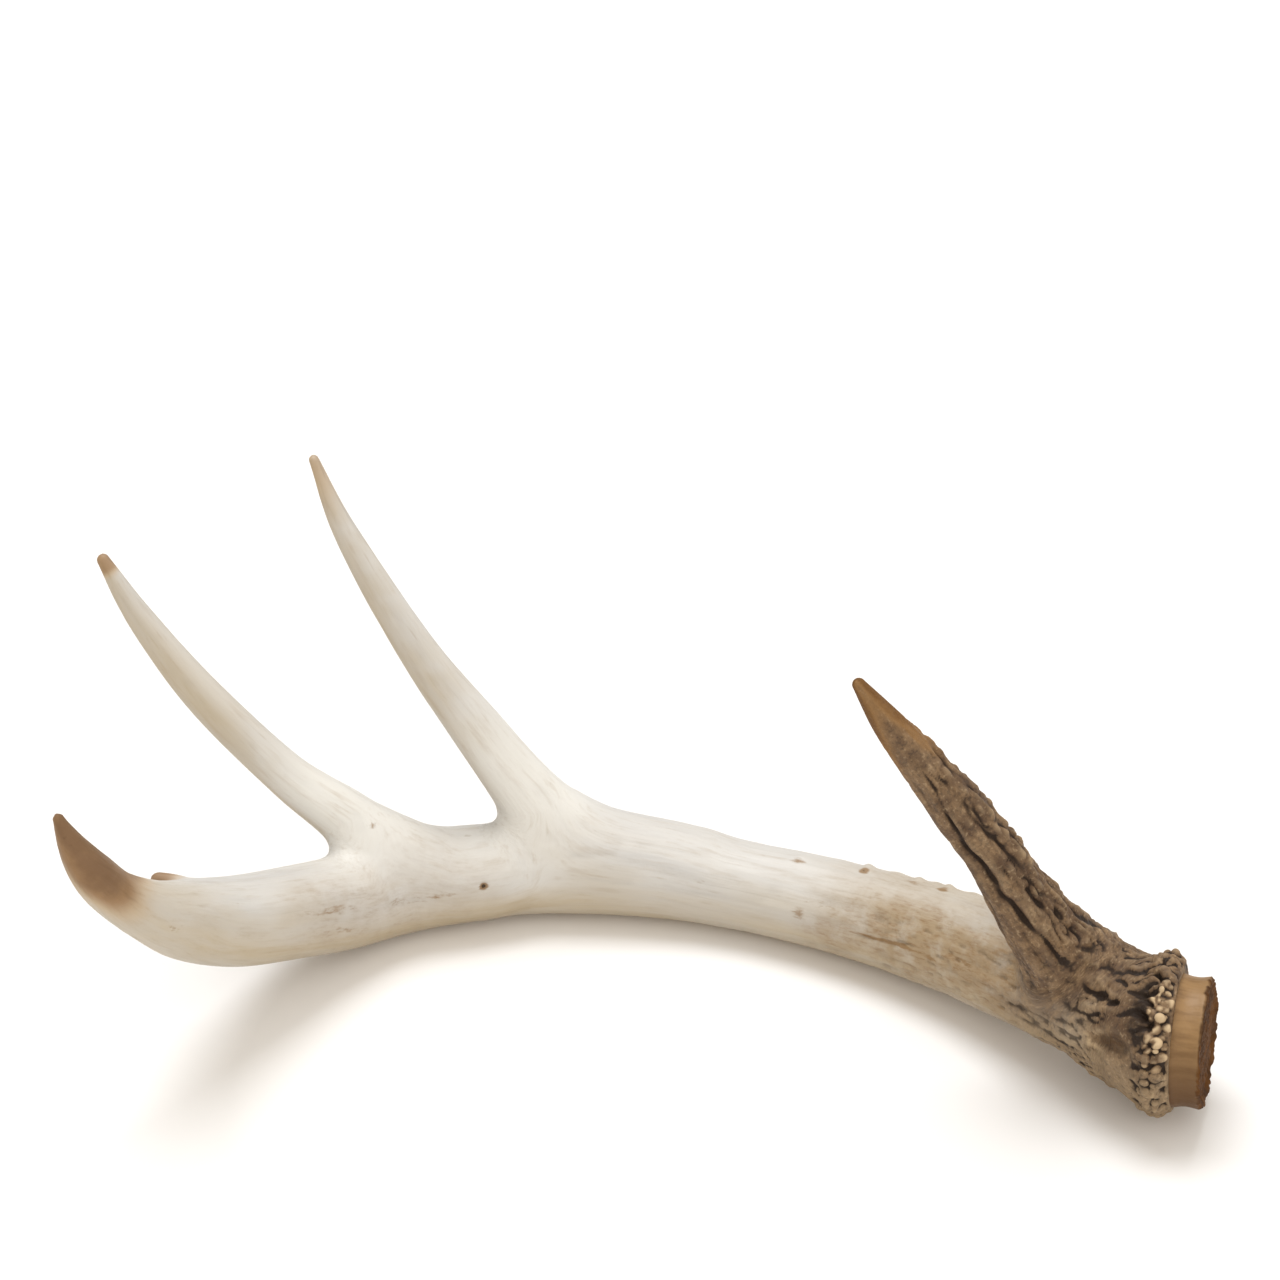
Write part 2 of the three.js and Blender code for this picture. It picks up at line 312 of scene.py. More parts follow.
def sideways(place, radius, degrees, wander=0):
    """Distance over the skin to a line along the branch: the turn from it, either way, times the
    radius."""
    turn = place["angle"] - np.radians(degrees) - wander
    return np.arctan2(np.sin(turn), np.cos(turn)) * radius


def soft_spots(place, radius, rows):
    """Sum of spots: height times a bell curve of the distance in half lengths and half widths. The
    two are the same in a row that gives one number for both."""
    total = np.zeros(len(place["distance"]))
    for along, degrees, height, *half_sizes in rows:
        beyond = (place["distance"] - along) / half_sizes[0]
        aside = sideways(place, radius, degrees) / half_sizes[-1]
        total += height * np.exp(-(beyond**2 + aside**2))
    return total


def grooves(place, radius, rows):
    """Sum of long grooves: minus the depth, times a bell curve across. They wander, grow narrow and
    shallow towards both ends, and nearly close in places."""
    total = np.zeros(len(place["distance"]))
    stray = 0.9 * noise(place["straight"] / (4, 4, 7), 15) / radius
    uneven = 0.3 + 0.8 * ease(noise(place["straight"] / (5, 5, 8), 16), -0.45, 0.2)
    for start, end, first, final, half_width, depth in rows:
        part = (place["distance"] - start) / (end - start)
        wander = 0.06 * np.sin(0.09 * place["distance"] + start) + stray
        aside = sideways(place, radius, first + (final - first) * part, wander)
        window = stretch(part, -0.1, 0.35, 0.6, 1.1)
        narrow = half_width * (0.45 + 0.55 * window * uneven)
        total -= depth * window * uneven * np.exp(-((aside / narrow) ** 2))
    return total


def beam_relief(place):
    """Channels that die out from the foot, hills of three sizes, fine flutes, pits, long channels
    and bumps, on a slight swell."""
    distance, angle, straight = place["distance"], place["angle"], place["straight"]
    foot = np.exp(-((distance / CHANNEL_REACH) ** 2))
    seat = BEAM_SWELL * (1 - foot) * (1 - ease(distance, 360, 430))
    rough = np.exp(-((distance / ROUGH_REACH) ** 2))
    channels = np.cos(CHANNELS * angle + 0.06 * distance + 1.4 * np.sin(2 * angle))
    broken = 0.75 + 0.25 * np.sin(0.21 * distance + 3 * angle)
    lift = seat + CHANNEL_DEPTH * foot * channels * broken
    lift += (0.1 + 0.75 * foot) * hills(straight, 5, 26, 1)
    lift += (0.035 + 0.6 * rough) * hills(straight, 2.1, 4.6, 2)
    lift += 0.45 * rough * hills(straight, 1.5, 2.4, 3)
    lift += 0.35 * noise(straight / (13, 13, 55), 4)
    lift += (0.1 + 0.16 * (1 - ease(distance, 180, 300))) * noise(straight / (2.3, 2.3, 60), 12)
    pitted = stretch(distance, 34, 52, 105, 128) * facing(angle, -1.55, 0.4, 0.9)
    pits = ease(noise(straight / (1.5, 1.5, 4.2), 5), 0.2, 0.55)
    lift -= 0.6 * pitted * pits
    lift += soft_spots(place, BEAM_RADIUS, CREST_BUMPS + [VESSEL_HOLE])
    return lift + grooves(place, BEAM_RADIUS, LONG_CHANNELS)


beam = Branch(BEAM, UP, BEAM_FOOT, 0.3)

# ---------------------------------------------------------------- the burr
# The burr is the crown of bony pearls around the foot of the beam, where it grew from the skull.
# Its pearls stand in uneven rows, with deep dark gaps between them on the side of the beam.

BURR_CENTRE = np.array([164.5, -55, 28.2])
PEDICLE_AXIS = unit(np.array([0.951, -0.3, 0.078]))
AXIS_SIDE = unit(np.cross(UP, PEDICLE_AXIS))
AXIS_TOP = np.cross(PEDICLE_AXIS, AXIS_SIDE)
# Profile of the crown: place along the axis from the beam's side to the skull's, and radius.
BURR_RADII = [
    (-16, 17), (-12, 19.6), (-9, 21.4), (-6.5, 23.6), (-4, 25.2), (-1.5, 25.9), (1, 25.9),
    (3, 24.8), (5, 22.6),
]
PROFILE_STEP = 0.25
PROFILE_MEAN = 17      # steps over which the profile is smoothed
BURR_FACE = 5.0
BURR_LUMPS = 17
# Rows of pearls: place along the axis, how many, their radius and height.
PEARL_ROWS = [(-4.4, 40, 1.6, 0.6), (-1.7, 46, 1.8, 1.1), (0.9, 50, 1.75, 1.3), (3.3, 44, 1.5, 0.9)]
# Deep gaps that run from the pearls along the foot of the beam: from and to, measured from the
# middle of the burr, angle at each end in degrees, half width and depth.
BURR_GAPS = [
    (0, 12, 10, 4, 1.1, 2.8), (1, 8, 17, 15, 0.9, 1.9), (0, 13, 24, 18, 1.4, 3.2),
    (1, 10, 34, 30, 1.0, 2.2), (0, 16, 45, 36, 1.3, 2.9), (1, 10, 54, 50, 0.9, 1.7),
    (-1, 7, 62, 67, 1.0, 1.5), (-1, 5, 76, 78, 0.7, 0.9), (11, 17, 10, 6, 0.8, 1.1),
    (13, 20, 30, 24, 0.9, 1.3), (17, 23, 20, 16, 0.8, 1.0), (19, 26, 40, 34, 0.9, 1.1),
    (3, 15, -3, -9, 1.0, 2.0), (3, 13, -17, -14, 0.9, 1.8), (4, 16, -30, -24, 1.3, 2.4),
    (3, 17, -48, -42, 1.2, 2.0), (4, 12, -62, -60, 0.9, 1.5), (4, 14, -75, -78, 1.2, 1.9),
    (4, 16, -104, -98, 1.2, 1.6), (4, 13, -133, -138, 1.3, 1.8), (4, 15, -163, -158, 1.2, 1.5),
    (4, 12, 160, 165, 1.2, 1.2), (4, 13, 132, 128, 1.1, 1.0), (4, 10, 101, 99, 0.8, 0.9),
]
# A smooth dimple in the foot of the beam: from the middle of the burr, angle, half sizes, depth.
DIMPLE = (15.0, 71, 7.0, 4.4, 2.4)
FOOT_RADIUS = 21.0
CROWN_RADIUS = 26.0


def about_axis(points):
    """Where points lie against the axis of the burr: along it, angle off the top, and distance out."""
    offset = points - BURR_CENTRE
    top = offset @ AXIS_TOP
    across = -(offset @ AXIS_SIDE)
    return offset @ PEDICLE_AXIS, np.arctan2(across, top), np.hypot(top, across), top, across


def burr_place(points):
    """Gap to the smooth crown: the distance out less its radius, or the height over its face."""
    along, angle, out, top, across = about_axis(points)
    stations, radii = np.array(BURR_RADII, float).T
    fine = np.arange(stations[0], stations[-1] + 0.01, PROFILE_STEP)
    wider = PROFILE_STEP * (PROFILE_MEAN - 1) / 2
    padded = np.arange(stations[0] - wider, stations[-1] + wider + 0.01, PROFILE_STEP)
    mean = np.ones(PROFILE_MEAN) / PROFILE_MEAN
    smooth = np.convolve(np.interp(padded, stations, radii), mean, "valid")
    radius = np.interp(along, fine, smooth) - 1.5 * np.maximum(fine[0] - along, 0)
    wall = out - radius
    face = along - BURR_FACE
    outward = np.column_stack([top, across]) / np.maximum(out, 1e-6)[:, None]
    way = outward[:, :1] * AXIS_TOP - outward[:, 1:] * AXIS_SIDE
    way = np.where((face > wall)[:, None], PEDICLE_AXIS, way)
    return {
        "distance": -along,
        "angle": angle,
        "gap": np.maximum(wall, face),
        "way": way,
        "straight": np.column_stack([top, across, -along]),
    }


def burr_relief(place):
    """Seventeen broad lumps, and over them jittered rows of domes: height times the root of one
    less the square of the distance from the pearl's middle in radii."""
    band = stretch(-place["distance"], -9, -5.5, 4, 5.2)
    near = band > 0
    along, angle = -place["distance"][near], place["angle"][near]
    broad = 0.8 * np.cos(BURR_LUMPS * angle + 1.2 * np.sin(angle)) * np.cos(0.55 * along)
    broad += 0.5 * np.cos(2 * angle) + 0.4 * np.cos(3 * angle + 2.8)
    draw = np.random.default_rng(21)
    domes = np.zeros(len(along))
    for row, count, radius, height in PEARL_ROWS:
        for number in range(count):
            shift_along, shift_round, size, rise = draw.uniform(-1, 1, 4)
            degrees = 360 * (number + 0.4 * shift_round) / count
            aside = sideways({"angle": angle}, CROWN_RADIUS, degrees)
            far = ((along - row - shift_along) ** 2 + aside**2) / (radius * (1 + 0.5 * size)) ** 2
            domes = np.maximum(domes, height * (1 + 0.5 * rise) * np.sqrt(np.clip(1 - far, 0, 1)))
    # Underneath, the pearls are lower, and the bone is more uneven both there and on top.
    under = 0.6 * facing(angle, -0.3, 0.1, -0.9)
    above = facing(angle, 0.1, 0.45, 0.9)
    uneven = (0.15 + 0.35 * under + 0.5 * above) * hills(place["straight"][near], 2.6, 3.4, 13)
    lift = np.zeros(len(band))
    lift[near] = band[near] * (broad + domes * (1 - 0.35 * under) - 0.5 + uneven)
    return lift


def dimple_share(place):
    """A bell curve over the dimple, 1 in its middle."""
    out, degrees, half_length, half_height, _ = DIMPLE
    aside = (place["angle"] - math.radians(degrees)) * FOOT_RADIUS / half_height
    return np.exp(-(((place["distance"] - out) / half_length) ** 2 + aside**2) ** 1.5)


def burr_gaps(place):
    """The deep gaps: a bell curve across each, which narrows and grows shallow away from the pearls."""
    total = np.zeros(len(place["distance"]))
    for start, end, first, final, half_width, depth in BURR_GAPS:
        part = (place["distance"] - start) / (end - start)
        wander = 0.05 * np.sin(0.5 * place["distance"] + first)
        aside = sideways(place, FOOT_RADIUS, first + (final - first) * part, wander)
        taper = stretch(part, -0.12, 0.12, 0.1, 1.05)
        total -= depth * taper * np.exp(-((aside / (half_width * (0.4 + 0.6 * taper))) ** 2))
    return total


def burr_solid(sides=96):
    """Vertices and faces of the crown as rings about its axis."""
    stations, radii = np.array(BURR_RADII, float).T
    angle = np.linspace(0, 2 * np.pi, sides, endpoint=False)[None, :, None]
    out = np.cos(angle) * AXIS_TOP - np.sin(angle) * AXIS_SIDE
    ring = BURR_CENTRE + stations[:, None, None] * PEDICLE_AXIS + radii[:, None, None] * out
    return closed_rings(ring, BURR_CENTRE + np.outer(stations[[0, -1]], PEDICLE_AXIS))


# ---------------------------------------------------------------- the tines
# The brow tine is dark and rough, with furrows and knobs nearly to its smooth tip. The two tines
# further out are pale and smooth. A very small point sits behind the beam near its tip.

TO_SKULL = np.array([1.0, 0.0, 0.0])
BROW_TINE = [
    (145, -31, 25, 17, 19), (133.5, -34, 45.5, 13.5, 14.5), (123.5, -36, 60.5, 11, 11.4),
    (108, -38, 87, 9, 9.3), (94, -40, 107.5, 7.8, 8.2), (83.5, -41, 122.5, 6.5, 6.8),
    (72.5, -42, 137.5, 4.8, 5), (62, -43, 153.5, 1.8, 1.8),
]
SECOND_TINE = [
    (14, 54.5, 14.5, 8, 9), (-9, 56, 20, 10, 11.5), (-32, 58, 31.5, 11.5, 15),
    (-46.5, 63, 49, 10, 11), (-62, 67, 70.5, 8.4, 9.2), (-80.5, 72, 97, 6.4, 6.9),
    (-103.5, 78, 139.5, 4, 4.3), (-114, 81.5, 167.5, 1.6, 1.6),
]
THIRD_TINE = [
    (-58, 51, 14.5, 8, 9), (-79, 47.5, 20, 10, 11.5), (-92.5, 46.5, 31, 10.5, 13),
    (-107.5, 50, 43.5, 9.2, 10), (-127.5, 54, 58.5, 7.4, 7.9), (-154, 60, 86, 6.5, 6.9),
    (-174, 65, 114, 4.4, 4.6), (-186.5, 69.5, 136, 2, 2),
]
SMALL_POINT = [(-147, -15, 53, 5.5, 5.5), (-156, -12, 56.3, 3.8, 3.8), (-164, -10, 57.6, 2.6, 2.6)]

brow = Branch(BROW_TINE, TO_SKULL)
second = Branch(SECOND_TINE, TO_SKULL)
third = Branch(THIRD_TINE, TO_SKULL)
point = Branch(SMALL_POINT, UP)

# Each tine: its branch, station of its fork, and the width of its fillet to the tip and to the skull.
TINES = {
    "brow_tine": (brow, 1.6, 4.0, 10.0),
    "second_tine": (second, 3.0, 9.0, 18.0),
    "third_tine": (third, 3.0, 9.0, 18.0),
    "small_point": (point, 0.0, 1.6, 1.6),
}
BROW_FURROWS = 7
BROW_FURROW_DEPTH = 0.38
BROW_RADIUS = 9
PALE_RADIUS = 10
# Crevices along the brow tine: from, to, angle at each end in degrees, half width, depth.
BROW_CREVICES = [
    (118, 94, -84, -106, 0.9, 0.9), (104, 82, -108, -102, 1.1, 1.3), (90, 74, -116, -108, 1.5, 1.5),
    (80, 62, -104, -98, 1.3, 1.7), (67, 42, -110, -94, 1.4, 1.8), (66, 38, -62, -54, 1.1, 1.2),
    (46, 24, -84, -72, 1.0, 1.1), (98, 84, -88, -82, 0.8, 0.6), (76, 58, -80, -72, 0.8, 0.7),
    (96, 66, -56, -46, 0.8, 0.6), (50, 30, -30, -36, 1.0, 1.2),
    (104, 60, 40, 52, 1.2, 1.2), (72, 34, 84, 78, 1.3, 1.4), (110, 70, 128, 120, 1.1, 1.0),
    (66, 30, 150, 160, 1.3, 1.4), (92, 50, 180, 186, 1.0, 0.9),
]
# Pale pearls on it: distance, angle, height, spread.
BROW_PEARLS = [(117, -66, 0.7, 1.4), (58, -40, 0.7, 1.8), (46, -70, 0.7, 1.6)]


def brow_relief(place):
    """Furrows and long hills, knobs towards the skull, crevices and pearls, fading before the tip."""
    distance, angle, straight = place["distance"], place["angle"], place["straight"]
    furrows = np.cos(BROW_FURROWS * angle + 0.05 * distance + np.sin(2 * angle))
    skull_side = facing(angle, -0.25, 0.1, 0.9)
    root = 1 - ease(distance, 24, 52)
    lift = BROW_FURROW_DEPTH * furrows
    lift += (0.42 + 0.3 * skull_side) * hills(straight, 4.2, 26, 6)
    lift += (0.2 + 0.2 * skull_side) * hills(straight, 2.0, 12, 7)
    lift += (0.14 + 0.6 * skull_side) * hills(straight, 1.8, 4.5, 8)
    lift += 0.35 * root * hills(straight, 1.7, 2.8, 14)
    lift += grooves(place, BROW_RADIUS, BROW_CREVICES) + soft_spots(place, BROW_RADIUS, BROW_PEARLS)
    return lift * ease(brow.length - distance, 12, 46) + 0.1 * noise(straight / (4, 4, 20), 9)


def pale_relief(place):
    """Faint flutes along the tine, and a soft unevenness."""
    distance, angle, straight = place["distance"], place["angle"], place["straight"]
    flutes = 0.12 * np.cos(4 * angle + 0.02 * distance)
    return flutes + 0.22 * noise(straight / (7, 7, 40), 10) + 0.06 * hills(straight, 2.6, 16, 11)


def fork_of(name):
    """A tine's row of samples where it leaves the beam, and the distance of that from its root."""
    branch, station, _, _ = TINES[name]
    return branch.look(branch.station(station)), branch.station(station)


# ---------------------------------------------------------------- the skin of the whole growth
# Beam, burr and tines grew as one bone, so they share one skin. It is the smooth union of the
# branches, with a fillet in every fork, and the relief of each branch fades into that of the next.

FIRST_VOXEL = 1.8
SKIN_VOXEL = 1.38
SMOOTHINGS = 3
BURR_BLEND = 5.0
HOLLOW_SPREAD = 20     # how many vertices away the skin's mean height is taken
# Strips of the beam where the skin is refined: angle and half width in radians, and where they end.
STRIPS_START = 90
CREST_STRIP = (0.25, 0.5, 152)
CRACK_STRIP = (-1.36, 0.2, 124)
# Brown marks, the strongest of which paints shade in the vessel's hole: distance, angle, strength, half
# length, half width.
BEAM_MARKS = [
    (147, -5, 0.6, 3.2, 1.6), (123, 6, 1.0, 2.0, 1.7), (104, 9, 0.6, 2.8, 1.5),
    (93, 13, 0.85, 2.0, 1.7), (160, -8, 0.35, 2.2, 1.0), (264, -74, 1.9, 1.3, 1.1),
    (260, -71, 0.45, 5, 1.6), (281, -76, 0.7, 12, 1.1), (300, -71, 0.4, 12, 1.2),
    (267, -9, 0.5, 2.6, 1.0), (222, -22, 0.5, 16, 0.8), (206, -14, 0.4, 2.4, 1.4),
    (385, -49, 0.3, 2.6, 1.6), (417, -104, 0.5, 6, 1.3), (340, -68, 0.45, 16, 1.3),
    (330, -96, 0.4, 10, 1.6), (473, -82, 0.7, 2.6, 2.4), (181, -58, 0.35, 4, 1.2),
    (141, -72, 0.5, 3, 2.4), (111, -79, 0.9, 8, 0.7), (97, -77, 1.0, 8, 0.7),
    (132, -56, 0.35, 10, 1.1), (84, -79, 0.5, 6, 1.2), (66, -70, 0.4, 5, 2.2),
]
THIRD_MARKS = [(50, -59, 0.7, 1.5, 1.2), (84, -70, 0.3, 2.4, 1.2)]


def skin_of(points):
    """Gap to the smooth union, the way out of it, and each branch's share and place. Two gaps a and
    b are joined within k of each other: h = 1/2 + (a - b) / 2k, gap = a + (b - a) h - k h (1 - h)."""
    places = {"main_beam": beam.place(points), "burr": burr_place(points)}
    blends = {"burr": BURR_BLEND}
    for name, (branch, _, tip_side, skull_side) in TINES.items():
        places[name] = branch.place(points)
        facing = (0.5 + 0.5 * np.cos(places[name]["angle"])) ** 2
        blends[name] = tip_side + (skull_side - tip_side) * facing
    gap = places["main_beam"]["gap"]
    way = places["main_beam"]["way"]
    shares = {"main_beam": np.ones(len(points))}
    for name, k in blends.items():
        other = places[name]["gap"]
        h = np.clip(0.5 + 0.5 * (gap - other) / k, 0, 1)
        gap = gap + (other - gap) * h - k * h * (1 - h)
        way = way * (1 - h)[:, None] + places[name]["way"] * h[:, None]
        shares = {key: share * (1 - h) for key, share in shares.items()}
        shares[name] = h
    return gap, unit(way), shares, places


def settle(points, steps=3):
    """Moves points onto the skin, a few steps of the gap along the way out."""
    for _ in range(steps):
        gap, way, _, _ = skin_of(points)
        points = points - way * gap[:, None]
    return points


def neighbour_mean(values, edges, count):
    """Mean over the neighbours that each vertex has along its edges."""
    both = np.concatenate([edges, edges[:, ::-1]])
    totals = [np.bincount(both[:, 0], column[both[:, 1]], count) for column in np.atleast_2d(values.T)]
    number = np.maximum(np.bincount(both[:, 0], minlength=count), 1)
    return (np.array(totals) / number).T.reshape(values.shape)


def positions(mesh):
    """Vertex positions of a mesh as rows, in millimetres of the growth's own frame."""
    flat = np.empty(len(mesh.vertices) * 3)
    mesh.vertices.foreach_get("co", flat)
    return flat.reshape(-1, 3) / MM - SEAT


def edge_pairs(mesh):
    """Both ends of every edge."""
    flat = np.empty(len(mesh.edges) * 2, int)
    mesh.edges.foreach_get("vertices", flat)
    return flat.reshape(-1, 2)


def put_back(mesh, points):
    """Writes rows in millimetres back as vertex positions in metres."""
    mesh.vertices.foreach_set("co", ((points + SEAT) * MM).ravel())
    mesh.update()


def remeshed(mesh, voxel):
    """The mesh rebuilt by Blender's voxel remesh, then smoothed along itself and settled on the skin."""
    holder = bpy.data.objects.new("holder", mesh)
    bpy.context.scene.collection.objects.link(holder)
    remesh = holder.modifiers.new("remesh", "REMESH")
    remesh.mode = "VOXEL"
    remesh.voxel_size = voxel * MM
    depsgraph = bpy.context.evaluated_depsgraph_get()
    rebuilt = bpy.data.meshes.new_from_object(holder.evaluated_get(depsgraph))
    bpy.data.objects.remove(holder)
    points, edges = positions(rebuilt), edge_pairs(rebuilt)
    for _ in range(SMOOTHINGS):
        points = settle(points, 1)
        points += 0.5 * (neighbour_mean(points, edges, len(points)) - points)
    put_back(rebuilt, settle(points))
    return rebuilt


def near_hole(place, reach):
    """True for points on the beam that are within reach of the vessel's hole."""
    beyond = np.abs(place["distance"] - VESSEL_HOLE[0])
    aside = np.abs(place["angle"] - math.radians(VESSEL_HOLE[1])) * BEAM_RADIUS
    return (beyond < reach) & (aside < reach) & (place["gap"] < 5)


def in_strip(place, middle, half_width, end):
    """True for points on the beam that lie in a strip along it."""
    inside = (place["distance"] > STRIPS_START) & (place["distance"] < end)
    return (np.abs(place["angle"] - middle) < half_width) & inside


def refined(mesh, chosen):
    """Each edge whose two ends are chosen is halved, and its faces are cut into four."""
    work = bmesh.new()
    work.from_mesh(mesh)
    work.verts.ensure_lookup_table()
    edges = [edge for edge in work.edges if chosen[edge.verts[0].index] and chosen[edge.verts[1].index]]
    bmesh.ops.subdivide_edges(work, edges=edges, cuts=1, use_grid_fill=True)
    work.to_mesh(mesh)
    work.free()
    put_back(mesh, settle(positions(mesh), 2))
    return mesh


parts = [beam.tube(), burr_solid(), brow.tube(), second.tube(), third.tube(), point.tube()]
vertices, faces = np.empty((0, 3)), []
for part_vertices, part_faces in parts:
    faces += [[corner + len(vertices) for corner in face] for face in part_faces]
    vertices = np.vstack([vertices, part_vertices])
rough_mesh = bpy.data.meshes.new("growth")
rough_mesh.from_pydata(((vertices + SEAT) * MM).tolist(), [], faces)
skin = remeshed(remeshed(rough_mesh, FIRST_VOXEL), SKIN_VOXEL)

# The skin is refined on the foot of the beam, along its crest and crack, on the tines and around the
# vessel's hole, and once more on the burr and at the hole.
_, _, shares, places = skin_of(positions(skin))
chosen = (places["main_beam"]["distance"] < 98) & (shares["main_beam"] + shares["burr"] > 0.5)
for strip in (CREST_STRIP, CRACK_STRIP):
    chosen |= in_strip(places["main_beam"], *strip) & (shares["main_beam"] > 0.9)
for name in TINES:
    chosen |= (shares[name] > 0.4) & (places[name]["distance"] > fork_of(name)[1] - 2)
skin = refined(skin, chosen | near_hole(places["main_beam"], 14))
_, _, shares, places = skin_of(positions(skin))
crown = (shares["burr"] > 0.3) & (places["burr"]["distance"] < 6) & (places["burr"]["distance"] > -4.9)
skin = refined(skin, crown | near_hole(places["main_beam"], 6))

# The relief lifts every vertex along the smooth skin's own normal.
points = positions(skin)
_, _, shares, places = skin_of(points)
dimple = dimple_share(places["burr"]) * (shares["main_beam"] + shares["burr"])
relief = shares["main_beam"] * beam_relief(places["main_beam"]) * (1 - 0.9 * dimple)
relief += shares["burr"] * burr_relief(places["burr"])
relief += (1 - shares["brow_tine"]) * burr_gaps(places["burr"])
relief -= DIMPLE[-1] * dimple
for name in TINES:
    relief_of = brow_relief if name == "brow_tine" else pale_relief
    relief += shares[name] * relief_of(places[name])
normals = np.empty(len(points) * 3)
skin.vertex_normals.foreach_get("vector", normals)
points = points + normals.reshape(-1, 3) * relief[:, None]
put_back(skin, points)

# Masks for the finish, one value for each vertex: how deep a spot lies, which also carries painted
# shade, and where stain, tips, ochre wash, brown marks, warm tones with painted shade, and painted light
# are.
edges = edge_pairs(skin)
around = relief
for _ in range(HOLLOW_SPREAD):
    around = neighbour_mean(around, edges, len(points))
hollow = np.clip((around - relief) / (0.55 + 0.7 * shares["brow_tine"]), -1, 1)
on_beam, on_burr, on_brow = places["main_beam"], places["burr"], places["brow_tine"]
beam_at, beam_angle = on_beam["distance"], on_beam["angle"]
# Only the pearls on one side of the burr are rubbed pale, and the other knobs stay brown.
pearl_side = facing(on_burr["angle"], 0.8, 0.8, 0.95) * ease(-on_burr["distance"], -3.5, -1)
brown_knobs = 0.8 * shares["burr"] * (1 - pearl_side)
brown_knobs += 0.64 * shares["brow_tine"] + 0.78 * shares["main_beam"]
hollow = np.where(hollow < 0, hollow * (1 - brown_knobs), hollow)
# Painted shade is darkest beside the pearls, over the dirt in the hollows. The hollows underneath, among
# the pearls, in the dimple and further along the beam are darkened less, and the dimple's rim is pale.
from_darkest = ((on_burr["distance"] - 5) / 5) ** 2 + ((on_burr["angle"] - 0.66) / 0.5) ** 2
hollow += 0.6 * np.exp(-from_darkest) * (1 - pearl_side) * (shares["main_beam"] + shares["burr"])
underneath = facing(on_burr["angle"], -0.3, 0.1, -0.9)
less_darkening = 1 - (0.45 * underneath + 0.3 * pearl_side) * shares["burr"]
less_darkening -= 0.6 * shares["main_beam"] * ease(beam_at, 30, 52)
rim = 4 * dimple * (1 - dimple) * ease(on_burr["distance"], 15, 20)
hollow = np.where(hollow > 0, hollow * less_darkening * (1 - 0.75 * dimple), hollow) - 0.4 * rim
# Lowness is 0 where the skin faces up and 1 where it faces down.
lowness = 0.5 - 0.5 * normals.reshape(-1, 3)[:, 2]
patches = noise(on_beam["straight"] / (9, 9, 22), 31)
patches += 0.5 * noise(on_beam["straight"] / (3.5, 3.5, 9), 32)
upper = 0.5 + 0.5 * np.cos(beam_angle)
beam_stain = 1 - ease(beam_at + 16 * patches - 10 * upper, -8, 84)
stain = shares["main_beam"] * beam_stain + shares["burr"] + shares["brow_tine"]
# Each tip: its strength times an S towards the end. The brow tine's reaches further down its edges
# than its near face, and the beam's and the brow tine's begin in a wavy line.
brow_wave = 9 * noise(on_brow["straight"] / (1.8, 1.8, 16), 33)
brow_wave -= 29 * np.exp(-(((on_brow["angle"] + 1.5) / 0.75) ** 2))
brow_tip = ease(on_brow["distance"] + brow_wave, brow.length - 56, brow.length - 10)
tip_wave = 8 * noise(on_beam["straight"] / (6, 6, 14), 34) + 5 * np.cos(beam_angle)
beam_tip = ease(beam_at + tip_wave, 420, 464)
beam_tip *= 0.7 + 0.3 * facing(beam_angle, -0.6, -0.6, 0.6)
second_tip = 0.45 * ease(places["second_tine"]["distance"], second.length - 34, second.length - 2)
third_tip = 0.6 * ease(places["third_tine"]["distance"], third.length - 10, third.length - 5)
point_tip = 0.65 * ease(places["small_point"]["distance"], 4, point.length - 4)
tip = shares["brow_tine"] * brow_tip + shares["main_beam"] * beam_tip
tip += shares["second_tine"] * second_tip + shares["third_tine"] * third_tip
tip += shares["small_point"] * point_tip
# The ochre wash lies on the first third of the beam, more on its lower side, and faintly further out.
lower_side = facing(beam_angle, -1.25, 0.45, 0.95)
ochre = ease(beam_at + 8 * patches, 10, 50)
ochre *= 1 - ease(beam_at + 14 * patches, 100, 150)
further = ease(beam_at + 12 * patches, 235, 280)
ochre += 0.3 * further * (1 - ease(beam_at, 330, 370))
ochre = shares["main_beam"] * np.clip(ochre, 0, 1) * (0.3 + 0.7 * lower_side)
# Brown marks on the crest's bumps, around the vessel's hole and on the beam's tip, painted shade in the
# hole, and a darker patch in the dimple.
mark = 0.45 * dimple
mark += shares["main_beam"] * soft_spots(on_beam, BEAM_RADIUS, BEAM_MARKS)
mark += shares["third_tine"] * soft_spots(places["third_tine"], PALE_RADIUS, THIRD_MARKS)
mark = np.clip(mark, 0, 1.5)
# Bone is warmer and darker where it faces down and on one side of the pale tines, which is painted
# shade, and warmer near both ends of the beam.
warm = ease(lowness + 0.12 * patches, 0.08, 0.7)
for name, least, reach in (("second_tine", 0.05, 0), ("third_tine", 0.2, 0.75)):
    edge = 0.45 + reach * ease(places[name]["distance"], 80, 115)
    tip_side = facing(places[name]["angle"], -0.3, edge, edge - 1)
    along = ease(places[name]["distance"], 36, 72)
    warm = np.maximum(warm, shares[name] * along * (least + (1 - least) * tip_side))
side_band = stretch(beam_at, 60, 110, 190, 260) * facing(beam_angle, -1.5, 0.7, 0.95)
warm = np.maximum(warm, 0.42 * shares["main_beam"] * side_band)
near_ends = 1 - ease(beam_at, 80, 160) + 0.8 * ease(beam_at, 370, 425)
warm = np.maximum(warm, 0.7 * shares["main_beam"] * near_ends * (0.7 + 0.3 * lower_side))
warm *= 1 - 0.9 * shares["brow_tine"]
